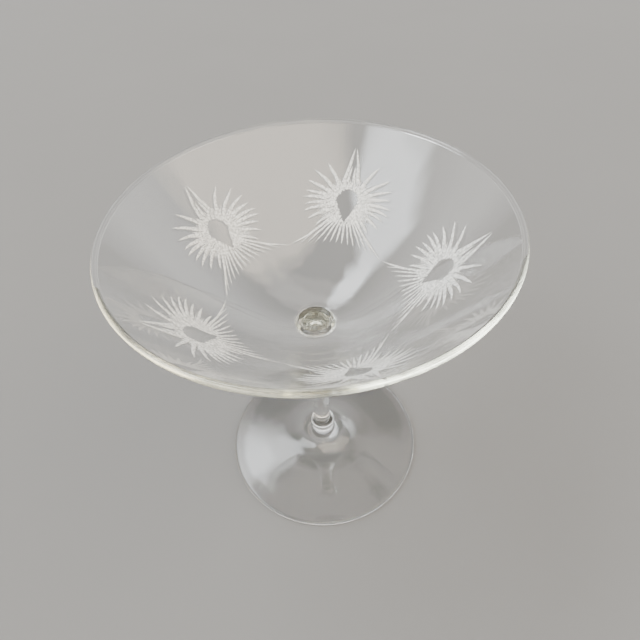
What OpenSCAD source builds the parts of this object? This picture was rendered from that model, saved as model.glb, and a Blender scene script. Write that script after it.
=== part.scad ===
// Stemmed cocktail glass: a shallow round bowl on a solid stem and a flared foot.
// Every piece is turned about the Z axis. The foot rests on z = 0, and the rim is uppermost.

/* [Overall] */
// Outside diameter across the rim
rim_d = 112; // [90:0.5:136]
// Height of the rim above the table
glass_h = 116; // [98:0.5:150]

/* [Bowl] */
// Depth of the inside, from the rim down to the floor
bowl_depth = 39; // [30:0.5:48]
// Thickness of the wall below the rim
wall = 1.2; // [0.8:0.1:1.6]
// Thickness of the round, fire-polished bead along the rim
bead_d = 1.7; // [1.6:0.1:2.4]
// Thickness of the glass at the middle of the floor
floor_t = 2.4; // [1.8:0.1:4]

/* [Merese] */
// Diameter of the disc between the bowl and the stem
merese_d = 14; // [13.5:0.5:20]
// Diameter of the flat face that carries the bowl
merese_seat_d = 11.5; // [9:0.5:13]
// Height of the merese
merese_h = 2.8; // [2.2:0.1:4]
// Thickness of its rounded edge
merese_edge = 1; // [0.6:0.1:1.4]

/* [Stem] */
// Diameter where the stem meets the merese
stem_top_d = 10; // [8:0.5:12]
// Diameter of the slender lower part
stem_d = 6.5; // [5.2:0.1:7.9]
// How quickly the taper fades away downwards
stem_taper = 3; // [1.5:0.5:5]

/* [Foot collar] */
// Diameter of the ring round the bottom of the stem
collar_d = 9.6; // [9:0.1:12]
// Height of the ring
collar_h = 3.2; // [2.6:0.1:4]

/* [Foot] */
// Diameter of the foot
foot_d = 77; // [60:0.5:96]
// Height of the foot at its middle
foot_h = 12.8; // [10:0.2:16]
// Diameter of the foot's top, under the collar
foot_top_d = 8.4; // [8:0.2:8.8]
// Thickness of the foot's rounded edge
foot_edge = 2.2; // [1.6:0.1:3]
// Width of the flat ring that rests on the table
ring_w = 4; // [2:0.5:8]
// Height of the shallow hollow inside that ring
hollow_h = 1.2; // [0.6:0.1:2]

/* [Hidden] */
$fn = 96;

// Heights of the joints between the pieces, from the rim down and from the table up
floor_z = glass_h - bowl_depth;
merese_top_z = floor_z - floor_t;
stem_top_z = merese_top_z - merese_h;
stem_bottom_z = foot_h + collar_h;

// The bead is a circle on the end of the wall, which leans outwards by rim_lean
bead_r = bead_d / 2;
bead_centre = [rim_d / 2 - bead_r, glass_h - bead_r];
rim_lean = atan(4 * bowl_depth / rim_d);
along_wall = [cos(rim_lean), sin(rim_lean)];
across_wall = [sin(rim_lean), -cos(rim_lean)];
bead_gap = asin(wall / bead_d);

// The inside is a paraboloid from the middle of the floor to the bead's inner end
inner_end = bead_point(180 + bead_gap);
steepness = (inner_end.y - floor_z) / inner_end.x ^ 2;
bowl_steps = 30;
bead_steps = 12;

merese_round_steps = 8;
stem_steps = 16;
collar_steps = 12;
foot_steps = 20;
edge_steps = 10;

// Straight mix of two values, for t from 0 to 1
function mix(a, b, t) = a + (b - a) * t;

// Point on the rim's bead, with the angle measured from the wall's direction towards the outside
function bead_point(angle) =
    bead_centre + bead_r * (cos(angle) * along_wall + sin(angle) * across_wall);

// Points of a half circle that bulges outwards, from its top end to its bottom end
function half_round(x, z, r, steps) =
    [for (i = [0:steps]) [x + r * sin(180 * i / steps), z + r * cos(180 * i / steps)]];

// Point on the bowl's inside at radius r
function inside_point(r) = [r, floor_z + steepness * r ^ 2];

// Wall thickness at radius r: the floor's at the merese, thinning smoothly to the wall's
function thickness(r) =
    let (t = min(1, max(0, (r - merese_seat_d / 2) / (inner_end.x * 0.6))))
    mix(floor_t, wall, 1 - (1 - t) ^ 2);

// Point on the bowl's outside, straight through the wall from the inside at radius r
function outside_point(r) =
    let (slope = atan(2 * steepness * r))
    inside_point(r) + thickness(r) * [sin(slope), -cos(slope)];

module bowl() {
    seat_r = merese_seat_d / 2;
    radii = [for (i = [1:bowl_steps - 1]) mix(seat_r, inner_end.x, i / bowl_steps)];
    color("azure", 0.4)
    rotate_extrude()
    polygon(concat(
        [[0, merese_top_z], [seat_r, merese_top_z]],
        [for (r = radii) outside_point(r)],
        [for (i = [0:bead_steps]) bead_point(mix(180 - bead_gap, -180 + bead_gap, i / bead_steps))],
        [for (i = [bowl_steps - 1:-1:1]) inside_point(inner_end.x * i / bowl_steps)],
        [[0, floor_z]]
    ));
}

module merese() {
    edge_r = merese_edge / 2;
    color("azure", 0.4)
    rotate_extrude()
    polygon(concat(
        [[0, merese_top_z], [merese_seat_d / 2, merese_top_z]],
        half_round(merese_d / 2 - edge_r, merese_top_z - merese_h / 2, edge_r, merese_round_steps),
        [[stem_top_d / 2, stem_top_z], [0, stem_top_z]]
    ));
}

module stem() {
    color("azure", 0.4)
    rotate_extrude()
    polygon(concat(
        [[0, stem_bottom_z]],
        [for (i = [0:stem_steps])
            let (t = i / stem_steps)
            [mix(stem_d, stem_top_d, t ^ stem_taper) / 2, mix(stem_bottom_z, stem_top_z, t)]],
        [[0, stem_top_z]]
    ));
}

module foot_collar() {
    // The ring is a half round between two flat faces, flattened to reach the collar's height
    color("azure", 0.4)
    rotate_extrude()
    polygon(concat(
        [[0, foot_h], [foot_top_d / 2, foot_h]],
        [for (i = [1:collar_steps - 1])
            let (a = 180 * i / collar_steps)
            [mix(foot_top_d, collar_d, sin(a)) / 2, foot_h + collar_h * (1 - cos(a)) / 2]],
        [[foot_top_d / 2, stem_bottom_z], [0, stem_bottom_z]]
    ));
}

// Height of the foot's upper side at radius r: a hyperbola that flares from the top to the edge
function foot_z(r) =
    let (top_r = foot_top_d / 2, edge = foot_d / 2 - foot_edge / 2)
    mix(foot_edge, foot_h, (1 / r - 1 / edge) / (1 / top_r - 1 / edge));

module foot() {
    top_r = foot_top_d / 2;
    edge_r = foot_edge / 2;
    ring_out_r = foot_d / 2 - edge_r;
    ring_in_r = ring_out_r - ring_w;
    color("azure", 0.4)
    rotate_extrude()
    polygon(concat(
        [[0, foot_h], [top_r, foot_h]],
        [for (i = [1:foot_steps - 1])
            let (r = mix(top_r, ring_out_r, (i / foot_steps) ^ 2))
            [r, foot_z(r)]],
        half_round(ring_out_r, edge_r, edge_r, edge_steps),
        [[ring_in_r, 0]],
        [for (i = [foot_steps / 2 - 1:-1:0])
            let (t = 2 * i / foot_steps)
            [ring_in_r * t, hollow_h * (1 - t ^ 2)]]
    ));
}

bowl();
merese();
stem();
foot_collar();
foot();
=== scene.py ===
"""An engraved martini glass: shallow bowl, merese, solid stem, collar and flared foot.

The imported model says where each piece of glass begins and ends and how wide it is. Each is turned again
here at a finer resolution, from the same formulas, and five engraved sunbursts are laid round the bowl.
Lengths are in metres, unless a name says otherwise.
"""

import logging
import math
import random
from dataclasses import dataclass, field
from enum import Enum
from functools import cache
from typing import Any, Iterable, Optional, Union

import bpy
import numpy as np
from bpy.types import ColorRamp, Material, Node, NodeSocket, NodeTree, Object
from mathutils import Matrix, Vector


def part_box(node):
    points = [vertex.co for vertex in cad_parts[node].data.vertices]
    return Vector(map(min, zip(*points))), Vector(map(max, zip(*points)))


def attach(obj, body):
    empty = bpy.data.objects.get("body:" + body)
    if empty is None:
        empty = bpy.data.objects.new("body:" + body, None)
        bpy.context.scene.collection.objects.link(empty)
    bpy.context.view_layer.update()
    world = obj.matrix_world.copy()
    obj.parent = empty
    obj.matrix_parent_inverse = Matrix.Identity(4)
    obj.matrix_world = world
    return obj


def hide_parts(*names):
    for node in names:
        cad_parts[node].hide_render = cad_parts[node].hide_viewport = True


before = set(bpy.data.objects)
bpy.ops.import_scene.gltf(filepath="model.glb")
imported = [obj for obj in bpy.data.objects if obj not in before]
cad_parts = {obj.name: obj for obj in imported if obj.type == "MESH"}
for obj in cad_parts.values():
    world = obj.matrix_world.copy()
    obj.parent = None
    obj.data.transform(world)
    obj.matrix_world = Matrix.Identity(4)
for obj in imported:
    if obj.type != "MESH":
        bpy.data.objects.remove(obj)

LOG = logging.getLogger("martini_glass")
MM = 0.001
FINE_POINT = 0.02 * MM

Point = tuple[float, float]
Colour = tuple[float, float, float]


class Joint(Enum):
    """Which ends of a turned piece are fused to its neighbours."""

    BELOW = (True, False)
    ABOVE = (False, True)
    BOTH = (True, True)


class Side(Enum):
    """The two sides of a motif's upright line."""

    LEFT = -1
    RIGHT = 1


# ---------------------------------------------------------------- node trees


class Signal:
    """A number that runs through a node tree. Reckoning with it adds Math nodes."""

    def __init__(self, graph: "Graph", socket: NodeSocket) -> None:
        """Wraps an output socket of that graph."""
        self.graph = graph
        self.socket = socket

    def maths(self, operation: str, left: Any, right: Any = 0.0) -> "Signal":
        """What one Math node makes of two values or signals."""
        node = self.graph.node("ShaderNodeMath", {"operation": operation}, {0: left, 1: right})
        return self.graph.signal(node)

    def __add__(self, other: Any) -> "Signal":
        """Sum."""
        return self.maths("ADD", self, other)

    __radd__ = __add__

    def __sub__(self, other: Any) -> "Signal":
        """Difference."""
        return self.maths("SUBTRACT", self, other)

    def __rsub__(self, other: Any) -> "Signal":
        """Difference, with the signal taken away."""
        return self.maths("SUBTRACT", other, self)

    def __mul__(self, other: Any) -> "Signal":
        """Product."""
        return self.maths("MULTIPLY", self, other)

    __rmul__ = __mul__

    def __truediv__(self, other: Any) -> "Signal":
        """Quotient."""
        return self.maths("DIVIDE", self, other)

    def __rtruediv__(self, other: Any) -> "Signal":
        """Quotient, with the signal below the line."""
        return self.maths("DIVIDE", other, self)

    def __gt__(self, other: Any) -> "Signal":
        """1 where the signal is the greater, and 0 elsewhere."""
        return self.maths("GREATER_THAN", self, other)

    def size(self) -> "Signal":
        """The value without its sign."""
        return self.maths("ABSOLUTE", self)

    def cos(self) -> "Signal":
        """Cosine."""
        return self.maths("COSINE", self)

    def sin(self) -> "Signal":
        """Sine."""
        return self.maths("SINE", self)


class Graph:
    """Adds nodes to one shader or geometry tree."""

    def __init__(self, tree: NodeTree) -> None:
        """Takes the tree to fill."""
        self.tree = tree

    def node(
        self,
        kind: str,
        settings: Optional[dict[str, Any]] = None,
        values: Optional[dict[Union[int, str], Any]] = None,
    ) -> Node:
        """Adds a node, sets it and feeds its sockets.

        Args:
            kind: The node's type.
            settings: The node's own settings, such as an operation; "stops" fills a colour ramp.
            values: What feeds each input socket, by its name or number, as feed takes it.

        Returns:
            The node.
        """
        made = self.tree.nodes.new(kind)
        for name, value in (settings or {}).items():
            if name == "stops":
                self.fill_ramp(made.color_ramp, value)
            else:
                setattr(made, name, value)
        for key, value in (values or {}).items():
            self.feed(made.inputs[key], value)
        return made

    def feed(self, socket: NodeSocket, value: Any) -> None:
        """Links or sets one input socket.

        Args:
            socket: The input socket.
            value: A Signal, an output socket, a node, which gives its first output, or a plain value.
        """
        if isinstance(value, Signal):
            value = value.socket
        if isinstance(value, Node):
            value = value.outputs[0]
        if isinstance(value, NodeSocket):
            self.tree.links.new(value, socket)
        else:
            socket.default_value = value

    @staticmethod
    def fill_ramp(ramp: ColorRamp, stops: tuple[Point, ...]) -> None:
        """Sets a colour ramp's stops.

        Args:
            ramp: The ramp, which has two stops to begin with.
            stops: Places from 0 to 1, each with its grey.
        """
        while len(ramp.elements) < len(stops):
            ramp.elements.new(0.5)
        for element, (place, grey) in zip(ramp.elements, stops):
            element.position = place
            element.color = (grey, grey, grey, 1.0)

    def signal(self, node: Node, output: Union[int, str] = 0) -> Signal:
        """One of a node's outputs, to reckon with."""
        return Signal(self, node.outputs[output])

    def parts(self, vector: Any) -> tuple[Signal, Signal, Signal]:
        """Splits a vector into its x, y and z."""
        split = self.node("ShaderNodeSeparateXYZ", values={0: vector})
        return self.signal(split, 0), self.signal(split, 1), self.signal(split, 2)

    def vector(self, x: Any, y: Any, z: Any) -> NodeSocket:
        """Joins three values into a vector."""
        return self.node("ShaderNodeCombineXYZ", values={0: x, 1: y, 2: z}).outputs[0]

    def place(self) -> NodeSocket:
        """The place on the piece that a material is on."""
        return self.node("ShaderNodeTexCoord").outputs["Object"]

    def noise(self, place: Any, scale: float, detail: float, **others: float) -> Node:
        """A noise texture, with its other sockets by name."""
        values = {"Vector": place, "Scale": scale, "Detail": detail, **others}
        return self.node("ShaderNodeTexNoise", values=values)

    def ramp(self, value: Any, *stops: Point) -> Node:
        """A grey that follows a value through stops, each a place from 0 to 1 and a grey."""
        return self.node("ShaderNodeValToRGB", {"stops": stops}, {0: value})

    def shaded(self, colour: Colour, shade: Any) -> NodeSocket:
        """A plain colour, darkened by a grey."""
        settings = {"data_type": "RGBA", "blend_type": "MULTIPLY"}
        return self.node("ShaderNodeMix", settings, {0: 1.0, 6: (*colour, 1.0), 7: shade}).outputs[2]

    def vector_maths(self, operation: str, *values: Any) -> Node:
        """Adds one Vector Math node, with those values in its sockets."""
        return self.node("ShaderNodeVectorMath", {"operation": operation}, dict(enumerate(values)))

    def bump(self, height: Any, distance: float, strength: float = 1.0) -> Node:
        """The normals of a skin that follows a height."""
        values = {"Strength": strength, "Distance": distance, "Height": height}
        return self.node("ShaderNodeBump", values=values)

    def surface(self, values: dict[str, Any], **others: Any) -> None:
        """Ends a material: what feeds its surface's sockets, and whatever else its output takes."""
        skin = self.node("ShaderNodeBsdfPrincipled", values=values)
        self.node("ShaderNodeOutputMaterial", values={"Surface": skin, **others})


class GeometryRecipe:
    """A Geometry Nodes tree with named inputs, which turns an object's geometry into a plain mesh.

    Where names are given as keywords, _ stands for each space.
    """

    def __init__(self, name: str, **inputs: str) -> None:
        """Starts the tree.

        Args:
            name: The tree's name.
            inputs: The type of each named input.
        """
        self.tree = bpy.data.node_groups.new(name, "GeometryNodeTree")
        face = self.tree.interface
        face.new_socket("Geometry", in_out="INPUT", socket_type="NodeSocketGeometry")
        for label, kind in inputs.items():
            face.new_socket(label.replace("_", " "), in_out="INPUT", socket_type=f"NodeSocket{kind}")
        face.new_socket("Geometry", in_out="OUTPUT", socket_type="NodeSocketGeometry")
        self.graph = Graph(self.tree)
        self.given = self.graph.node("NodeGroupInput")
        self.result = self.graph.node("NodeGroupOutput")

    def input(self, name: str) -> Signal:
        """One of the tree's named inputs."""
        return self.graph.signal(self.given, name)

    def step(
        self, kind: str, geometry: Any, settings: Optional[dict[str, Any]] = None, **sockets: Any
    ) -> Node:
        """Adds a geometry node of that kind, which takes a geometry in its first socket."""
        values = {name.replace("_", " "): value for name, value in sockets.items()}
        return self.graph.node(f"GeometryNode{kind}", settings, {0: geometry, **values})

    def finish(self, geometry: Any) -> None:
        """Makes that geometry the tree's result."""
        self.graph.feed(self.result.inputs[0], geometry)

    def attribute(self, name: str, data_type: str = "FLOAT") -> NodeSocket:
        """A named attribute of the geometry, as a socket."""
        kind = "GeometryNodeInputNamedAttribute"
        return self.graph.node(kind, {"data_type": data_type}, {"Name": name}).outputs["Attribute"]

    def apply(self, piece: Object, **values: Any) -> None:
        """Runs the tree on a piece and keeps the result as its plain mesh.

        Args:
            piece: The object that holds the tree's starting geometry.
            values: The named inputs.
        """
        modifier = piece.modifiers.new(self.tree.name, "NODES")
        modifier.node_group = self.tree
        sockets = {
            item.name.replace(" ", "_"): item.identifier
            for item in self.tree.interface.items_tree
            if item.in_out == "INPUT"
        }
        for name, value in values.items():
            modifier[sockets[name]] = value
        depsgraph = bpy.context.evaluated_depsgraph_get()
        made = bpy.data.meshes.new_from_object(
            piece.evaluated_get(depsgraph), preserve_all_data_layers=True, depsgraph=depsgraph
        )
        piece.modifiers.clear()
        piece.data = made
        made.name = piece.name
        for index in reversed(range(len(made.materials))):
            if made.materials[index] is None:
                made.materials.pop(index=index)


def line_object(
    name: str,
    lines: Iterable[list[tuple[float, float, float]]],
    attributes: Optional[dict[str, tuple[str, list[Any]]]] = None,
) -> Object:
    """Makes an object of loose edges, for a recipe to work on.

    Args:
        name: The object's name.
        lines: Polylines, each a list of points.
        attributes: Attributes on the points, each with its type and one value for every point.

    Returns:
        The object, linked to the scene.
    """
    points: list[tuple[float, float, float]] = []
    edges: list[tuple[int, int]] = []
    for line in lines:
        first = len(points)
        points.extend(line)
        edges.extend((i, i + 1) for i in range(first, len(points) - 1))
    mesh = bpy.data.meshes.new(name)
    mesh.from_pydata(points, edges, [])
    for label, (kind, values) in (attributes or {}).items():
        mesh.attributes.new(label, kind, "POINT").data.foreach_set("value", values)
    made = bpy.data.objects.new(name, mesh)
    bpy.context.scene.collection.objects.link(made)
    return made


# ---------------------------------------------------------------- finishes


def new_material(name: str) -> tuple[Material, Graph]:
    """Starts a material.

    Args:
        name: The material's name.

    Returns:
        The material, and an empty graph for its nodes.
    """
    material = bpy.data.materials.new(name)
    material.use_nodes = True
    material.node_tree.nodes.clear()
    return material, Graph(material.node_tree)


@dataclass(frozen=True)
class GlassFinish:
    """Clear fire-polished glass, with a faint tint that shows where the wall is seen edge on.

    Attributes:
        name: The material's name.
        passes: The share of each colour that one unit of depth lets through.
        density: How strongly the depth tints, per metre.
        index: The index of refraction.
        smear: The most roughness, in the faint smears that handling leaves.
        ripple: How far the skin wavers.
        ripple_size: How far apart the wavers are.
        ring_share: The share of the waver that runs in rings about the axis.
        ring_pace: How many times closer the rings are.
        smear_pace: How many times closer the smears are.
        smear_stops: Where the noise begins to show as a smear, and where it is full.
    """

    name: str
    passes: Colour = (0.92, 0.92, 0.62)
    density: float = 5.0
    index: float = 1.5
    smear: float = 0.02
    ripple: float = 0.02 * MM
    ripple_size: float = 14 * MM
    ring_share: float = 0.35
    ring_pace: float = 2.2
    smear_pace: float = 0.6
    smear_stops: tuple[Point, ...] = ((0.45, 0.0), (0.75, 1.0))

    @cache
    def material(self, shown: bool = True) -> Material:
        """Makes the material, once for all pieces.

        Args:
            shown: False for a fused face inside the glass, which light passes as if it weren't there.

        Returns:
            The material.
        """
        material, graph = new_material(self.name if shown else f"{self.name}_fused")
        skin = self.skin(graph) if shown else {"Alpha": 0.0}
        depth = graph.node(
            "ShaderNodeVolumeAbsorption",
            values={"Color": (*self.passes, 1.0), "Density": self.density},
        )
        clear = {"Base Color": (1, 1, 1, 1), "IOR": self.index, "Transmission Weight": 1.0}
        graph.surface({**clear, **skin}, Volume=depth)
        return material

    def skin(self, graph: Graph) -> dict[str, Any]:
        """The wavering, faintly smeared surface.

        Args:
            graph: The material's graph.

        Returns:
            The sockets of the Principled node that it feeds.
        """
        place = graph.place()
        x, y, z = graph.parts(place)
        radius = graph.vector_maths("LENGTH", graph.vector(x, y, 0.0)).outputs["Value"]
        scale = 1 / self.ripple_size
        rings = graph.signal(graph.noise(graph.vector(radius, 0.0, z), self.ring_pace * scale, 1.0))
        waver = graph.signal(graph.noise(place, scale, 2.0))
        smears = graph.noise(place, self.smear_pace * scale, 4.0, Roughness=0.6)
        smeared = graph.signal(graph.ramp(smears, *self.smear_stops))
        return {
            "Roughness": smeared * self.smear,
            "Normal": graph.bump(rings * self.ring_share + waver, self.ripple),
        }


@dataclass(frozen=True)
class FrostFinish:
    """Wheel-cut glass: white, matte and grainy, with the clear glass showing between the cuts.

    Attributes:
        name: The material's name.
        white: The colour of the cut glass.
        grain: The size of the grain.
        cover_stops: The least cover, between the grains, and full cover.
        shade_stops: The dullest grains and the whitest.
        glow: The share of the light that comes through the cut.
        roughness: Its roughness.
        index: The index of refraction.
        relief: How deep the grains and pits are.
        pit_pace: How many times closer than the grains the pits are.
        pit_share: How deep the pits are, as a share of the grains.
    """

    name: str
    white: Colour = (0.93, 0.93, 0.9)
    grain: float = 0.6 * MM
    cover_stops: tuple[Point, ...] = ((0.38, 0.7), (0.6, 1.0))
    shade_stops: tuple[Point, ...] = ((0.36, 0.74), (0.58, 1.0))
    glow: float = 0.2
    roughness: float = 0.62
    index: float = 1.45
    relief: float = 0.06 * MM
    pit_pace: float = 1.3
    pit_share: float = 0.6

    @cache
    def material(self) -> Material:
        """Makes the material, once for all pieces.

        Returns:
            The material.
        """
        material, graph = new_material(self.name)
        place = graph.place()
        grains = graph.signal(graph.noise(place, 1 / self.grain, 2.0))
        values = {"Vector": place, "Scale": self.pit_pace / self.grain}
        pits = graph.signal(graph.node("ShaderNodeTexVoronoi", {"feature": "F1"}, values))
        shade = graph.ramp(grains, *self.shade_stops)
        graph.surface(
            {
                "Base Color": graph.shaded(self.white, shade),
                "Roughness": self.roughness,
                "IOR": self.index,
                "Transmission Weight": self.glow,
                "Alpha": graph.ramp(grains, *self.cover_stops),
                "Normal": graph.bump(grains + pits * self.pit_share, self.relief, strength=0.9),
            }
        )
        return material


@dataclass(frozen=True)
class MatteFinish:
    """A plain matte surface for the studio's floor.

    Attributes:
        name: The material's name.
        grey: Its colour.
        roughness: Its roughness.
        mottle_scale: How fine its faint mottle is.
        mottle_stops: The mottle's darkest and lightest.
    """

    name: str
    grey: Colour
    roughness: float = 0.85
    mottle_scale: float = 9.0
    mottle_stops: tuple[Point, ...] = ((0.3, 0.97), (0.7, 1.0))

    def material(self) -> Material:
        """Makes the material.

        Returns:
            The material.
        """
        material, graph = new_material(self.name)
        mottle = graph.ramp(graph.noise(graph.place(), self.mottle_scale, 5.0), *self.mottle_stops)
        graph.surface({"Base Color": graph.shaded(self.grey, mottle), "Roughness": self.roughness})
        return material


# ---------------------------------------------------------------- turned glass


def blend(a: float, b: float, t: float) -> float:
    """Straight mix of two values, for t from 0 to 1."""
    return a + (b - a) * t


def steps(count: int, first: int = 0) -> Iterable[float]:
    """Even shares from first / count to 1."""
    return (i / count for i in range(first, count + 1))


def half_round(radius: float, low: float, high: float, bulge: float, count: int) -> list[Point]:
    """Half an ellipse that bulges outwards.

    Args:
        radius: Radius of its two ends.
        low: Height of its lower end, where it begins.
        high: Height of its upper end.
        bulge: How far it bulges.
        count: Steps along it.

    Returns:
        Its points.
    """
    middle, half = (low + high) / 2, (high - low) / 2
    angles = [math.pi * t for t in steps(count)]
    return [(radius + bulge * math.sin(a), middle - half * math.cos(a)) for a in angles]


class Lathe:
    """Turns outlines about the Z axis with one Geometry Nodes tree.

    The tree sweeps each outline along a circle of PATH, welds what lies within WELD and keeps
    every edge that bends by more than SHARP crisp.
    """

    PATH = 100 * MM
    WELD = 0.001 * MM
    SHARP = math.radians(35)

    def __init__(self, segments: int = 256) -> None:
        """Builds the tree.

        Args:
            segments: The number of steps round a piece.
        """
        self.segments = segments
        recipe = GeometryRecipe(
            "turn_on_lathe",
            Segments="Int",
            Path_radius="Float",
            Weld="Float",
            Sharp_angle="Float",
            Skin="Material",
            Fused="Material",
        )
        outline = recipe.step("MeshToCurve", recipe.given)
        path = recipe.graph.node(
            "GeometryNodeCurvePrimitiveCircle",
            values={"Resolution": recipe.input("Segments"), "Radius": recipe.input("Path radius")},
        )
        swept = recipe.step("CurveToMesh", path, Profile_Curve=outline)
        welded = recipe.step("MergeByDistance", swept, Distance=recipe.input("Weld"))
        smooth = recipe.step("SetShadeSmooth", welded)
        bend = recipe.graph.signal(recipe.graph.node("GeometryNodeInputMeshEdgeAngle"))
        creased = recipe.step(
            "StoreNamedAttribute",
            smooth,
            {"data_type": "BOOLEAN", "domain": "EDGE"},
            Name="sharp_edge",
            Value=bend > recipe.input("Sharp angle"),
        )
        plain = recipe.step("RealizeInstances", creased)
        skinned = recipe.step("SetMaterial", plain, Material=recipe.input("Skin"))
        fused = recipe.step(
            "SetMaterial",
            skinned,
            Selection=recipe.attribute("fused", "BOOLEAN"),
            Material=recipe.input("Fused"),
        )
        recipe.finish(fused)
        self.recipe = recipe

    def turn(self, name: str, outline: list[Point], joint: Joint, finish: GlassFinish) -> Object:
        """Turns one outline.

        Args:
            name: The piece's name.
            outline: Radius and height from the axis below, round the outside, to the axis above.
            joint: The ends that are fused to other pieces.
            finish: The glass.

        Returns:
            The piece.
        """
        below, above = joint.value
        last = len(outline) - 1
        fused = [(below and i < 2) or (above and i > last - 2) for i in range(len(outline))]
        on_path = [(radius - self.PATH, -height, 0.0) for radius, height in outline]
        piece = line_object(name, [on_path[::-1]], {"fused": ("BOOLEAN", fused[::-1])})
        self.recipe.apply(
            piece,
            Segments=self.segments,
            Path_radius=self.PATH,
            Weld=self.WELD,
            Sharp_angle=self.SHARP,
            Skin=finish.material(),
            Fused=finish.material(shown=False),
        )
        return piece


@dataclass
class Turned:
    """A piece of glass that is turned about the Z axis.

    Attributes:
        name: The piece's name.
        node: The CAD node that it stands for.
        joint: The ends that are fused to other pieces.
        finish: The glass.
    """

    GAP = 0.005 * MM

    name: str
    node: str
    joint: Joint
    finish: GlassFinish

    @property
    def bottom(self) -> float:
        """The piece's lowest height, a hair above what it is fused to."""
        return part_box(self.node)[0].z + (self.GAP if self.joint.value[0] else 0.0)

    @property
    def top(self) -> float:
        """The piece's greatest height, a hair below what it is fused to."""
        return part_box(self.node)[1].z - (self.GAP if self.joint.value[1] else 0.0)

    @property
    def radius(self) -> float:
        """The piece's greatest radius."""
        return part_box(self.node)[1].x

    def outline(self) -> list[Point]:
        """Radius and height from the axis below, round the outside, to the axis above."""
        raise NotImplementedError

    def build(self, lathe: Lathe) -> Object:
        """Turns the piece and hangs it on the frame.

        Args:
            lathe: What turns it.

        Returns:
            The piece.
        """
        piece = lathe.turn(self.name, self.outline(), self.joint, self.finish)
        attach(piece, "root")
        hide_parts(self.node)
        LOG.info("%s: %d faces, for %s", self.name, len(piece.data.polygons), self.node)
        return piece


@dataclass
class Bowl(Turned):
    """The blown bowl: a paraboloid inside, a wall that thickens to its floor and a bead on the rim.

    Attributes:
        depth: From the rim down to the floor.
        wall: Thickness of the wall below the rim.
        bead: Diameter of the rim's bead.
        seat: Radius of the flat face on the merese.
        thinning: The share of the way to the rim over which the floor thins to the wall.
        wall_steps: Steps along each side of the wall.
        bead_steps: Steps round the bead.
    """

    depth: float = 39 * MM
    wall: float = 1.2 * MM
    bead: float = 1.7 * MM
    seat: float = 5.75 * MM
    thinning: float = 0.6
    wall_steps: int = 72
    bead_steps: int = 24

    def __post_init__(self) -> None:
        """Works out the bead and the paraboloid from the rim, which the frame gives."""
        self.floor = self.top - self.depth
        self.floor_thickness = self.floor - self.bottom
        lean = math.atan(2 * self.depth / self.radius)
        self.along = np.array([math.cos(lean), math.sin(lean)])
        self.across = np.array([math.sin(lean), -math.cos(lean)])
        self.bead_centre = np.array([self.radius - self.bead / 2, self.top - self.bead / 2])
        self.bead_gap = math.asin(self.wall / self.bead)
        self.inner_end = self.bead_point(math.pi + self.bead_gap)
        self.steepness = (self.inner_end[1] - self.floor) / self.inner_end[0] ** 2

    def bead_point(self, angle: float) -> np.ndarray:
        """Point on the bead, with the angle from the wall's direction towards the outside."""
        turned = math.cos(angle) * self.along + math.sin(angle) * self.across
        return self.bead_centre + self.bead / 2 * turned

    def inside(self, radius: float) -> np.ndarray:
        """Point on the bowl's inside."""
        return np.array([radius, self.floor + self.steepness * radius**2])

    def thickness(self, radius: float) -> float:
        """Thickness of the glass through the wall from the inside at that radius."""
        t = min(1.0, max(0.0, (radius - self.seat) / (self.inner_end[0] * self.thinning)))
        return blend(self.floor_thickness, self.wall, 1 - (1 - t) ** 2)

    def outside(self, radius: float) -> np.ndarray:
        """Point on the bowl's outside.

        Args:
            radius: Radius of the point straight through the wall on the inside.

        Returns:
            The point.
        """
        slope = math.atan(2 * self.steepness * radius)
        through = np.array([math.sin(slope), -math.cos(slope)])
        return self.inside(radius) + self.thickness(radius) * through

    def outside_path(self) -> list[np.ndarray]:
        """Points up the bowl's outside, from the merese to the bead."""
        return [self.outside(blend(self.seat, self.inner_end[0], t)) for t in steps(self.wall_steps)]

    def outline(self) -> list[Point]:
        """The wall's section.

        Returns:
            Its points, from the axis below to the axis above.
        """
        turn = math.pi - self.bead_gap
        bead = [self.bead_point(blend(turn, -turn, t)) for t in steps(self.bead_steps)]
        inner = [self.inside(self.inner_end[0] * (1 - t)) for t in steps(self.wall_steps, 1)]
        seat = [(0.0, self.bottom), (self.seat, self.bottom)]
        return seat + [tuple(p) for p in self.outside_path()[1:-1] + bead + inner]


@dataclass
class Merese(Turned):
    """The small disc of glass between the bowl and the stem.

    Attributes:
        seat: Radius of the flat face that carries the bowl.
        stem: Radius where the stem meets it.
        edge: Thickness of its rounded edge.
        rings: Fine turning rings on its lower face.
        ring_depth: How deep they are.
        ring_steps: Steps across each ring.
        edge_steps: Steps round the edge.
    """

    seat: float = 5.75 * MM
    stem: float = 5 * MM
    edge: float = 1 * MM
    rings: int = 3
    ring_depth: float = 0.12 * MM
    ring_steps: int = 8
    edge_steps: int = 16

    def ringed(self, t: float) -> float:
        """How deep the rings are at that share of the way across the lower face."""
        return self.ring_depth * math.sin(math.pi * self.rings * t) ** 2

    def outline(self) -> list[Point]:
        """The disc's section.

        Returns:
            Its points, from the axis below to the axis above.
        """
        middle = (self.bottom + self.top) / 2
        half = self.edge / 2
        rounded = half_round(self.radius - half, middle - half, middle + half, half, self.edge_steps)
        outer, low = rounded[0]
        face = [
            (blend(self.stem, outer, t), blend(self.bottom, low, t) + self.ringed(t))
            for t in steps(self.ring_steps * self.rings)
        ]
        return [(0.0, self.bottom)] + face + rounded[1:] + [(self.seat, self.top), (0.0, self.top)]


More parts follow.
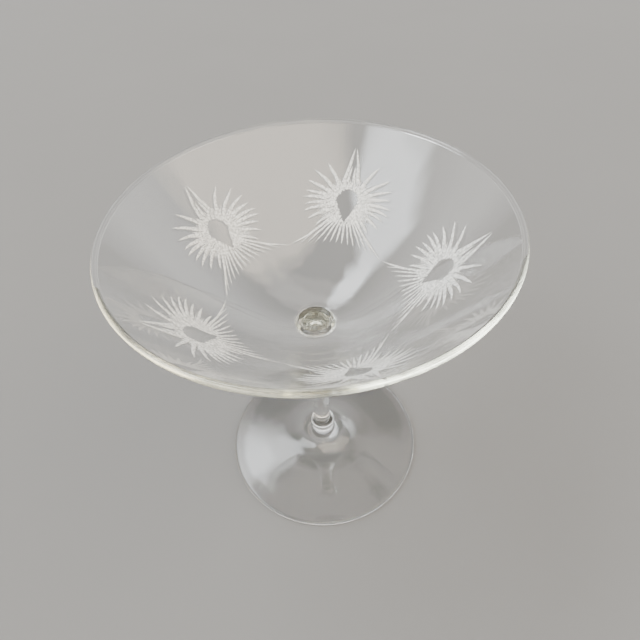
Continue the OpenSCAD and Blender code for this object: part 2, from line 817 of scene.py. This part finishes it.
@dataclass
class Stem(Turned):
    """The solid stem, wide under the merese and slender below.

    Attributes:
        slender: Radius of the lower part.
        taper: How quickly the taper fades away downwards.
        waves: Faint waves that drawing the hot glass leaves, from end to end.
        wave_depth: How deep they are.
        length_steps: Steps along it.
    """

    slender: float = 3.25 * MM
    taper: float = 3.0
    waves: int = 11
    wave_depth: float = 0.05 * MM
    length_steps: int = 120

    def side(self, t: float) -> float:
        """Radius at that share of the height. The waves fade out at the ends."""
        drawn = blend(self.slender, self.radius, t**self.taper)
        return drawn - self.wave_depth * math.sin(math.pi * t) * math.sin(math.pi * self.waves * t) ** 2

    def outline(self) -> list[Point]:
        """The stem's section."""
        side = [(self.side(t), blend(self.bottom, self.top, t)) for t in steps(self.length_steps)]
        return [(0.0, self.bottom)] + side + [(0.0, self.top)]


@dataclass
class FootCollar(Turned):
    """The ring of glass round the bottom of the stem.

    Attributes:
        face: Radius of its flat top and bottom.
        round_steps: Steps round its bulge.
    """

    face: float = 4.2 * MM
    round_steps: int = 32

    def outline(self) -> list[Point]:
        """The ring's section."""
        bulge = half_round(self.face, self.bottom, self.top, self.radius - self.face, self.round_steps)
        return [(0.0, self.bottom)] + bulge + [(0.0, self.top)]


@dataclass
class Foot(Turned):
    """The flared foot, with a flat ring to rest on and a shallow hollow inside it.

    Attributes:
        face: Radius of its top, under the collar.
        edge: Thickness of its rounded edge.
        ring: Width of the resting ring.
        hollow: Height of the hollow.
        flare_steps: Steps along the flare.
        edge_steps: Steps round the edge.
    """

    face: float = 4.2 * MM
    edge: float = 2.2 * MM
    ring: float = 4 * MM
    hollow: float = 1.2 * MM
    flare_steps: int = 72
    edge_steps: int = 24

    def flare(self, radius: float) -> float:
        """Height of the upper side: a hyperbola from the top to the edge."""
        at_top, at_edge = 1 / self.face, 1 / (self.radius - self.edge / 2)
        return blend(self.edge, self.top, (1 / radius - at_edge) / (at_top - at_edge))

    def outline(self) -> list[Point]:
        """The foot's section.

        Returns:
            Its points, from the axis below to the axis above.
        """
        half = self.edge / 2
        ring_out = self.radius - half
        ring_in = ring_out - self.ring
        under = [(ring_in * t, self.hollow * (1 - t**2)) for t in steps(self.flare_steps // 2)]
        rounded = half_round(ring_out, 0.0, self.edge, half, self.edge_steps)
        radii = [blend(self.face, ring_out, (1 - t) ** 2) for t in steps(self.flare_steps, 1)]
        flare = [(radius, self.flare(radius)) for radius in radii[:-1]]
        return under + rounded + flare + [(self.face, self.top), (0.0, self.top)]


# ---------------------------------------------------------------- engraving


@dataclass
class Stroke:
    """One cut of the engraver's wheel, laid out on the flat.

    Attributes:
        path: Points along the cut, across and up.
        half_widths: Half the cut's width at each point.
    """

    path: list[Point]
    half_widths: list[float]


def tapered(start: Point, bend: Point, end: Point, widths: Point, count: int) -> Stroke:
    """A cut along a simple curve that narrows towards its end.

    Args:
        start: Where the cut begins.
        bend: The curve's control point.
        end: Where the cut ends, in a fine point.
        widths: Half its width at the beginning and just before the end.
        count: Steps along it.

    Returns:
        The stroke.
    """
    a, b, c = (np.array(p) for p in (start, bend, end))
    path = [tuple((1 - t) ** 2 * a + 2 * t * (1 - t) * b + t**2 * c) for t in steps(count)]
    half_widths = [blend(*widths, t**1.2) * (1 - t**6) + FINE_POINT for t in steps(count)]
    return Stroke(path, half_widths)


@dataclass
class Sunburst:
    """One engraved motif: a clear drop in a ring of frost, with rays all round.

    Across is positive to the right and up is towards the rim, from the middle of the motif. Where a
    field holds a cut's widths, they are half its width at the root and just before the tip.

    Attributes:
        drop_width: Width of the clear drop.
        drop_top: How far the drop reaches up.
        drop_tip: How far its point reaches down.
        frost_across: Half the frosted ring's width.
        frost_up: Half its height.
        hatch_cuts: Short cuts that make up the frosted ring.
        hatch_widths: Their widths.
        hatch_root: How far outside the drop they begin, at least and at most.
        hatch_tip: How far outside the ring's edge they end, at least and at most.
        hatch_lean: How far they lean to either side, at most.
        hatch_uneven: How far handwork shifts them, as a share of the gap between them.
        ray_rows: Side rays above the middle one, and below it.
        ray_length: Reach of the topmost side ray, from the middle.
        ray_fade: How much shorter each lower side ray is.
        ray_short: How much shorter still the topmost and the lowest are.
        ray_lean: The middle side ray's slope, in degrees.
        ray_gap: Between neighbouring side rays, in degrees.
        ray_spread: How quickly the gaps widen away from the middle.
        ray_root: Where the side rays begin, as a share of the way to the ring's edge.
        ray_bow: How far they bend.
        ray_uneven: How far handwork changes their reach.
        ray_turn: How far it turns them, in degrees.
        ray_widths: Their widths.
        fan_rays: Base rays on each side.
        fan_focus: How far down the base rays' common point is.
        fan_root: How far from that point the middle ones begin.
        fan_nearer: How much nearer to it each further one begins.
        fan_foot: How far down the base rays end.
        fan_gap: Between the ends of neighbouring ones.
        fan_spread: How quickly the gaps widen away from the middle.
        fan_bow: How much more each further one bends.
        fan_uneven: How far handwork changes their ends.
        fan_widths: Their widths.
        swag: Start, bend and end of the long cut towards the next motif.
        swag_widths: Its widths.
        spike: Start, bend and end of the long cut that points to the rim.
        spike_widths: Its widths.
        inner_spike: Start, bend and end of the short cut inside it.
        inner_widths: Its widths.
        seed: Fixes the small unevenness of handwork.
    """

    drop_width: float = 7 * MM
    drop_top: float = 4.6 * MM
    drop_tip: float = 6.8 * MM
    frost_across: float = 10.2 * MM
    frost_up: float = 8.2 * MM
    hatch_cuts: int = 170
    hatch_widths: Point = (0.2 * MM, 0.15 * MM)
    hatch_root: Point = (-0.1 * MM, 0.9 * MM)
    hatch_tip: Point = (-1.6 * MM, 0.6 * MM)
    hatch_lean: float = 1.2 * MM
    hatch_uneven: float = 0.4
    ray_rows: int = 4
    ray_length: float = 17.6 * MM
    ray_fade: float = 0.5 * MM
    ray_short: float = 1.6 * MM
    ray_lean: float = 6
    ray_gap: float = 8.3
    ray_spread: float = 0.25
    ray_root: float = 0.72
    ray_bow: float = 0.5 * MM
    ray_uneven: float = 0.6 * MM
    ray_turn: float = 1
    ray_widths: Point = (0.7 * MM, 0.22 * MM)
    fan_rays: int = 6
    fan_focus: float = 2 * MM
    fan_root: float = 5.6 * MM
    fan_nearer: float = 0.3 * MM
    fan_foot: float = 14.2 * MM
    fan_gap: float = 2.1 * MM
    fan_spread: float = 0.065 * MM
    fan_bow: float = 0.05 * MM
    fan_uneven: float = 0.15 * MM
    fan_widths: Point = (0.36 * MM, 0.26 * MM)
    swag: tuple[Point, ...] = ((3.8 * MM, -4.6 * MM), (9.6 * MM, -12.4 * MM), (16.6 * MM, -13.9 * MM))
    swag_widths: Point = (0.5 * MM, 0.24 * MM)
    spike: tuple[Point, ...] = ((2.5 * MM, 6.6 * MM), (1.5 * MM, 12 * MM), (0.25 * MM, 18.2 * MM))
    spike_widths: Point = (0.75 * MM, 0.3 * MM)
    inner_spike: tuple[Point, ...] = ((1.1 * MM, 6.8 * MM), (0.8 * MM, 9 * MM), (0.5 * MM, 12.2 * MM))
    inner_widths: Point = (0.6 * MM, 0.2 * MM)
    seed: int = 7
    draw: random.Random = field(init=False)

    def __post_init__(self) -> None:
        """Starts the random draws."""
        self.draw = random.Random(self.seed)

    def uneven(self, most: float) -> float:
        """A small random amount either way."""
        return self.draw.uniform(-most, most)

    def drop_edge(self, angle: float) -> float:
        """Distance to the drop's edge: half an ellipse above and a straight-sided point below.

        Args:
            angle: The direction from the middle, from across to up, in radians.

        Returns:
            The distance.
        """
        half = self.drop_width / 2
        across, up = abs(math.cos(angle)), math.sin(angle)
        if up >= 0:
            return 1 / math.hypot(across / half, up / self.drop_top)
        return 1 / (across / half - up / self.drop_tip)

    def frost_edge(self, angle: float) -> float:
        """Distance from the middle to the frosted ring's outer edge, in that direction."""
        return 1 / math.hypot(math.cos(angle) / self.frost_across, math.sin(angle) / self.frost_up)

    def hatch(self) -> list[Stroke]:
        """The frosted ring, as cuts that lie side by side from the drop outwards.

        Returns:
            The strokes.
        """
        cuts = []
        for i in range(self.hatch_cuts):
            angle = math.tau * (i + self.uneven(self.hatch_uneven)) / self.hatch_cuts
            inner = self.drop_edge(angle) + self.draw.uniform(*self.hatch_root)
            outer = self.frost_edge(angle) + self.draw.uniform(*self.hatch_tip)
            way = np.array([math.cos(angle), math.sin(angle)])
            side = np.array([-way[1], way[0]]) * self.uneven(self.hatch_lean)
            middle = way * (inner + outer) / 2 + side / 2
            cuts.append(tapered(way * inner, middle, way * outer + side, self.hatch_widths, count=5))
        return cuts

    def side_rays(self, side: Side) -> list[Stroke]:
        """The rays on one side, closest together at the middle.

        Args:
            side: Which side.

        Returns:
            The strokes.
        """
        cuts = []
        last = self.ray_rows
        for i in range(-last, last + 1):
            slope = self.ray_lean - self.ray_gap * i - self.ray_spread * i**3
            angle = math.radians(slope + self.uneven(self.ray_turn))
            reach = self.ray_length - self.ray_fade * (i + last) + self.uneven(self.ray_uneven)
            reach -= self.ray_short if abs(i) == last else 0.0
            way = np.array([side.value * math.cos(angle), math.sin(angle)])
            bow = np.array([-way[1], way[0]]) * side.value * self.ray_bow
            start = way * self.frost_edge(angle) * self.ray_root
            middle = way * (self.frost_edge(angle) + reach) / 2 + bow
            cuts.append(tapered(start, middle, way * reach, self.ray_widths, count=10))
        return cuts

    def fan(self, side: Side) -> list[Stroke]:
        """Half the base rays, which spread from below the drop to a level line.

        Args:
            side: Which side.

        Returns:
            The strokes.
        """
        cuts = []
        focus = np.array([0.0, -self.fan_focus])
        for i in range(self.fan_rays):
            across = self.fan_gap * (i + 0.5) + self.fan_spread * i**2 + self.uneven(self.fan_uneven)
            end = np.array([side.value * across, -self.fan_foot])
            way = (end - focus) / np.linalg.norm(end - focus)
            start = focus + way * (self.fan_root - self.fan_nearer * i)
            middle = (start + end) / 2 + np.array([side.value * self.fan_bow * i, 0.0])
            cuts.append(tapered(start, middle, end, self.fan_widths, count=9))
        return cuts

    def strokes(self) -> list[Stroke]:
        """Every cut of the motif.

        Returns:
            The strokes.
        """
        cuts = self.hatch()
        long_cuts = (
            (self.swag, self.swag_widths, 16),
            (self.spike, self.spike_widths, 12),
            (self.inner_spike, self.inner_widths, 8),
        )
        for side in Side:
            cuts += self.side_rays(side) + self.fan(side)
            for points, widths, count in long_cuts:
                turned = [(side.value * across, up) for across, up in points]
                cuts.append(tapered(*turned, widths, count))
        return cuts


@dataclass
class Engraving:
    """Five sunbursts round the wall of the bowl.

    APART is how quickly the straying changes from one motif to the next.

    Attributes:
        name: The piece's name.
        motif: What is cut.
        finish: The cut glass.
        count: How many motifs.
        first: Direction of the first motif, in degrees from +X.
        middle: Radius of the bowl's inside at the middle of each motif.
        sides: Sides round each cut.
        flatness: The cuts' depth over their width.
        lift: How far the middle of the cuts stands out from the wall.
        wobble: How far handwork strays from the drawing.
        wobble_size: How far apart the strayings are.
        seed: Fixes the straying.
    """

    APART = 3.0

    name: str
    motif: Sunburst
    finish: FrostFinish
    count: int = 5
    first: float = -3.5
    middle: float = 37.6 * MM
    sides: int = 6
    flatness: float = 0.08
    lift: float = 0.04 * MM
    wobble: float = 0.5 * MM
    wobble_size: float = 5 * MM
    seed: int = 11

    def recipe(self) -> GeometryRecipe:
        """Makes the tree that cuts one motif on the flat, repeats it and lays the copies on the bowl.

        Returns:
            The tree.
        """
        recipe = GeometryRecipe(
            "engrave_round_bowl",
            Bowl_wall="Object",
            Motifs="Int",
            First_direction="Float",
            Height_up_the_bowl="Float",
            Flatness="Float",
            Lift="Float",
            Wobble="Float",
            Wobble_size="Float",
            Seed="Float",
            Frost="Material",
        )
        graph = recipe.graph
        cuts = recipe.step("MeshToCurve", recipe.given)
        section = graph.node(
            "GeometryNodeCurvePrimitiveCircle", values={"Resolution": self.sides, "Radius": 1.0}
        )
        width = recipe.attribute("half_width")
        swept = recipe.step("CurveToMesh", cuts, Profile_Curve=section, Scale=width, Fill_Caps=True)
        across, up, through = graph.parts(graph.node("GeometryNodeInputPosition"))
        depth = through * recipe.input("Flatness") - recipe.input("Lift")
        flat = recipe.step("SetPosition", swept, Position=graph.vector(across, up, depth))
        places = graph.node("GeometryNodePoints", values={"Count": recipe.input("Motifs")})
        index = graph.signal(graph.node("GeometryNodeInputIndex"))
        turned = recipe.step(
            "StoreNamedAttribute",
            places,
            {"data_type": "FLOAT", "domain": "POINT"},
            Name="direction",
            Value=recipe.input("First direction") + index * math.tau / recipe.input("Motifs"),
        )
        copies = recipe.step("InstanceOnPoints", turned, Instance=flat)
        loose = recipe.step("RealizeInstances", copies)
        laid = self.lay_on_bowl(recipe, self.stray(recipe, loose))
        smooth = recipe.step("SetShadeSmooth", laid)
        plain = recipe.step("RealizeInstances", smooth)
        recipe.finish(recipe.step("SetMaterial", plain, Material=recipe.input("Frost")))
        return recipe

    @staticmethod
    def stray(recipe: GeometryRecipe, geometry: Any) -> Node:
        """Pushes the flat motifs about a little, each in its own way.

        Args:
            recipe: The tree.
            geometry: The flat motifs.

        Returns:
            The uneven motifs.
        """
        graph = recipe.graph
        noise = graph.node(
            "ShaderNodeTexNoise",
            {"noise_dimensions": "4D"},
            {
                "Vector": graph.node("GeometryNodeInputPosition"),
                "W": Signal(graph, recipe.attribute("direction")) * Engraving.APART + recipe.input("Seed"),
                "Scale": 1 / recipe.input("Wobble size"),
                "Detail": 1.0,
            },
        )
        x, y, _ = graph.parts(noise.outputs["Color"])
        reach = recipe.input("Wobble") * 2.0
        offset = graph.vector((x - 0.5) * reach, (y - 0.5) * reach, 0.0)
        return recipe.step("SetPosition", geometry, Offset=offset)

    @staticmethod
    def lay_on_bowl(recipe: GeometryRecipe, geometry: Any) -> Node:
        """Wraps the flat motifs round the bowl, each in its own direction.

        Args:
            recipe: The tree.
            geometry: The flat motifs, across, up and through the wall.

        Returns:
            The motifs on the bowl.
        """
        graph = recipe.graph
        bowl = graph.node("GeometryNodeObjectInfo", values={"Object": recipe.input("Bowl wall")})
        across, up, through = graph.parts(graph.node("GeometryNodeInputPosition"))
        sample = recipe.step(
            "SampleCurve",
            recipe.step("MeshToCurve", bowl.outputs["Geometry"]),
            {"mode": "LENGTH"},
            Length=up + recipe.input("Height up the bowl"),
        )
        radius, _, height = graph.parts(sample.outputs["Position"])
        run, _, rise = graph.parts(sample.outputs["Tangent"])
        direction = Signal(graph, recipe.attribute("direction")) - across / radius
        out = radius + through * rise
        wrapped = graph.vector(out * direction.cos(), out * direction.sin(), height - through * run)
        moved = recipe.step("SetPosition", geometry, Position=wrapped)
        return recipe.step("FlipFaces", moved)

    def build(self, bowl: Bowl) -> Object:
        """Cuts the motifs into the bowl.

        Args:
            bowl: The bowl that they are on.

        Returns:
            The engraving, as one piece.
        """
        path = [bowl.inside(blend(bowl.seat, bowl.inner_end[0], t)) for t in steps(bowl.wall_steps)]
        lengths = np.cumsum([0.0] + [float(np.linalg.norm(b - a)) for a, b in zip(path, path[1:])])
        guide = line_object("bowl_wall_line", [[(p[0], 0.0, p[1]) for p in path]])
        strokes = self.motif.strokes()
        widths = [w for stroke in strokes for w in stroke.half_widths]
        piece = line_object(
            self.name,
            [[(x, y, 0.0) for x, y in stroke.path] for stroke in strokes],
            {"half_width": ("FLOAT", widths)},
        )
        self.recipe().apply(
            piece,
            Bowl_wall=guide,
            Motifs=self.count,
            First_direction=math.radians(self.first),
            Height_up_the_bowl=float(np.interp(self.middle, [p[0] for p in path], lengths)),
            Flatness=self.flatness,
            Lift=self.lift,
            Wobble=self.wobble,
            Wobble_size=self.wobble_size,
            Seed=float(self.seed),
            Frost=self.finish.material(),
        )
        bpy.data.objects.remove(guide)
        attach(piece, "root")
        LOG.info("%s: %d cuts a motif, %d faces", self.name, len(strokes), len(piece.data.polygons))
        return piece


# ---------------------------------------------------------------- studio


def heading(direction: float, elevation: float = 0.0) -> Vector:
    """The unit vector with that direction from +X and that elevation, in degrees."""
    a, b = math.radians(direction), math.radians(elevation)
    return Vector((math.cos(a) * math.cos(b), math.sin(a) * math.cos(b), math.sin(b)))


@dataclass(frozen=True)
class SoftPanel:
    """A soft-edged patch of light in the surroundings, such as a large diffuser.

    Attributes:
        direction: Where its middle is, in degrees from +X.
        elevation: How high its middle is, in degrees.
        width: Half its width over its distance.
        height: Half its height over its distance.
        radiance: How bright it is.
        softness: The share of it that fades towards the edges.
        colour: Its colour.
        ruffle: How unevenly its sides hang.
        ruffle_scale: How fine that unevenness is.
    """

    direction: float
    elevation: float
    width: float
    height: float
    radiance: float
    softness: float = 0.5
    colour: Colour = (1.0, 1.0, 1.0)
    ruffle: float = 0.35
    ruffle_scale: float = 3.5

    def lay_over(self, graph: Graph, way: NodeSocket, behind: NodeSocket) -> NodeSocket:
        """Adds the panel to the surroundings.

        Args:
            graph: The surroundings' nodes.
            way: The direction that is looked in.
            behind: The colour of the surroundings behind the panel.

        Returns:
            The colour with the panel in front.
        """
        middle = heading(self.direction, self.elevation)
        side = heading(self.direction + 90)
        way = self.ruffled(graph, way)
        ahead = self.share(graph, way, middle)
        mask = ahead > 0.0
        for axis, half in ((side, self.width), (middle.cross(side), self.height)):
            offset = (self.share(graph, way, axis) / ahead).size()
            fade = graph.node(
                "ShaderNodeMapRange",
                {"interpolation_type": "SMOOTHSTEP"},
                {
                    "Value": offset,
                    "From Min": half * (1 - self.softness),
                    "From Max": half * (1 + self.softness),
                    "To Min": 1.0,
                    "To Max": 0.0,
                },
            )
            mask = mask * graph.signal(fade)
        light = tuple(self.radiance * part for part in self.colour)
        values = {0: mask, 6: behind, 7: (*light, 1.0)}
        return graph.node("ShaderNodeMix", {"data_type": "RGBA"}, values).outputs[2]

    def ruffled(self, graph: Graph, way: NodeSocket) -> NodeSocket:
        """Pushes the looking direction about level, so that the sides hang unevenly, like cloth.

        Args:
            graph: The surroundings' nodes.
            way: The direction that is looked in.

        Returns:
            The direction, pushed about.
        """
        noise = graph.noise(way, self.ruffle_scale, 2.0)
        centred = graph.vector_maths("SUBTRACT", noise.outputs["Color"], (0.5, 0.5, 0.5))
        reach = (self.ruffle, self.ruffle, 0.0)
        return graph.vector_maths("MULTIPLY_ADD", centred, reach, way).outputs[0]

    @staticmethod
    def share(graph: Graph, way: NodeSocket, axis: Vector) -> Signal:
        """The share of the looking direction along an axis."""
        return graph.signal(graph.vector_maths("DOT_PRODUCT", way, axis), "Value")


@dataclass(frozen=True)
class Viewpoint:
    """Where the camera is, measured in rim radii from the middle of the rim.

    Attributes:
        back: How far back it stands.
        above: How far above the rim it is.
        yaw: Turned to the right, in degrees.
        pitch: Turned down, in degrees.
        roll: Tipped, in degrees.
        lens_mm: Focal length.
        sensor_mm: Width of the sensor.
        nearest: How near it sees.
    """

    back: float = 1.95
    above: float = 1.416
    yaw: float = 0.78
    pitch: float = 47.71
    roll: float = -3.65
    lens_mm: float = 28.125
    sensor_mm: float = 36.0
    nearest: float = 5 * MM

    def build(self, rim_radius: float, rim_height: float) -> Object:
        """Makes the scene's camera.

        Args:
            rim_radius: The rim's radius.
            rim_height: The rim's height.

        Returns:
            The camera.
        """
        roll = math.radians(self.roll)
        ahead = heading(90 - self.yaw, -self.pitch)
        level = heading(-self.yaw)
        upright = level.cross(ahead)
        right = math.cos(roll) * level + math.sin(roll) * upright
        up = math.cos(roll) * upright - math.sin(roll) * level
        camera = bpy.data.objects.new("camera", bpy.data.cameras.new("camera"))
        bpy.context.scene.collection.objects.link(camera)
        camera.data.lens = self.lens_mm
        camera.data.sensor_width = self.sensor_mm
        camera.data.clip_start = self.nearest
        place = Vector((0.0, -self.back * rim_radius, rim_height + self.above * rim_radius))
        turn = Matrix((right, up, -ahead)).transposed().to_4x4()
        camera.matrix_world = Matrix.Translation(place) @ turn
        bpy.context.scene.camera = camera
        return camera


@dataclass
class Studio:
    """A pale floor under soft light.

    Attributes:
        floor_finish: The floor's surface.
        panels: The panels of light.
        sky: Brightness of the surroundings by height, from level at 0 to overhead at 1: a calm
            backdrop, a bright ring above it and a dim ceiling.
        floor_size: The floor's width.
        floor_drop: How far the floor is below the foot, so that they don't share a plane.
    """

    floor_finish: MatteFinish
    panels: tuple[SoftPanel, ...]
    sky: tuple[Point, ...] = ((0.0, 0.5), (0.12, 0.5), (0.3, 2.4), (0.42, 2.4), (0.75, 0.12))
    floor_size: float = 12.0
    floor_drop: float = 0.02 * MM

    def build(self) -> None:
        """Sets up the floor and the surroundings."""
        half = self.floor_size / 2
        corners = [(-half, -half, 0), (half, -half, 0), (half, half, 0), (-half, half, 0)]
        mesh = bpy.data.meshes.new("floor")
        mesh.from_pydata(corners, [], [(0, 1, 2, 3)])
        mesh.materials.append(self.floor_finish.material())
        floor = bpy.data.objects.new("floor", mesh)
        bpy.context.scene.collection.objects.link(floor)
        floor.location.z = -self.floor_drop
        self.surround()

    def surround(self) -> None:
        """Makes the surroundings: the sky and the panels in front of it."""
        world = bpy.data.worlds.new("surroundings")
        world.use_nodes = True
        world.node_tree.nodes.clear()
        graph = Graph(world.node_tree)
        way = graph.node("ShaderNodeTexCoord").outputs["Generated"]
        _, _, height = graph.parts(way)
        colour = graph.ramp(height, *self.sky).outputs[0]
        for panel in self.panels:
            colour = panel.lay_over(graph, way, colour)
        back = graph.node("ShaderNodeBackground", values={"Color": colour})
        graph.node("ShaderNodeOutputWorld", values={"Surface": back})
        bpy.context.scene.world = world


def soft_panels() -> tuple[SoftPanel, ...]:
    """The panels of light.

    Returns:
        A wide warm one and a small warm one, a wide window and a high one.
    """
    warm, mild, cool = (1.0, 0.88, 0.72), (1.0, 0.94, 0.88), (0.93, 0.97, 1.0)
    return (
        SoftPanel(310, 54, width=0.9, height=0.34, radiance=5.5, softness=0.25, colour=warm),
        SoftPanel(75, 72, width=0.5, height=0.22, radiance=2.0, softness=0.3, colour=mild),
        SoftPanel(192, 46, width=0.36, height=0.2, radiance=10.0, softness=0.3, colour=cool),
        SoftPanel(143, 60, width=0.26, height=0.15, radiance=14.0, softness=0.4, colour=cool),
    )


def let_light_through(bounces: int = 128) -> None:
    """Lets light pass as many layers of glass as the bowl, stem and foot stack up.

    Args:
        bounces: How many times light may turn on its way.
    """
    cycles = bpy.context.scene.cycles
    cycles.max_bounces = bounces
    cycles.transmission_bounces = bounces
    cycles.glossy_bounces = bounces // 2
    cycles.transparent_max_bounces = 2 * bounces


def main() -> None:
    """Builds the glass, its engraving and the studio."""
    logging.basicConfig(level=logging.INFO, format="%(name)s: %(message)s")
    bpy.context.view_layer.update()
    blown = GlassFinish("bowl_glass")
    solid = GlassFinish("solid_glass", density=2.0, ripple=0.03 * MM, ripple_size=7 * MM)
    bowl = Bowl("blown_bowl", "bowl", Joint.BELOW, blown)
    lathe = Lathe()
    for part in (
        bowl,
        Merese("merese_disc", "merese", Joint.BOTH, solid),
        Stem("solid_stem", "stem", Joint.BOTH, solid),
        FootCollar("collar_ring", "foot_collar", Joint.BOTH, solid),
        Foot("flared_foot", "foot", Joint.ABOVE, solid),
    ):
        part.build(lathe)
    Engraving("engraved_sunbursts", Sunburst(), FrostFinish("engraved_frost")).build(bowl)
    Viewpoint().build(bowl.radius, bowl.top)
    Studio(MatteFinish("pale_floor", (0.16, 0.16, 0.158)), soft_panels()).build()
    let_light_through()


if __name__ == "__main__":
    main()
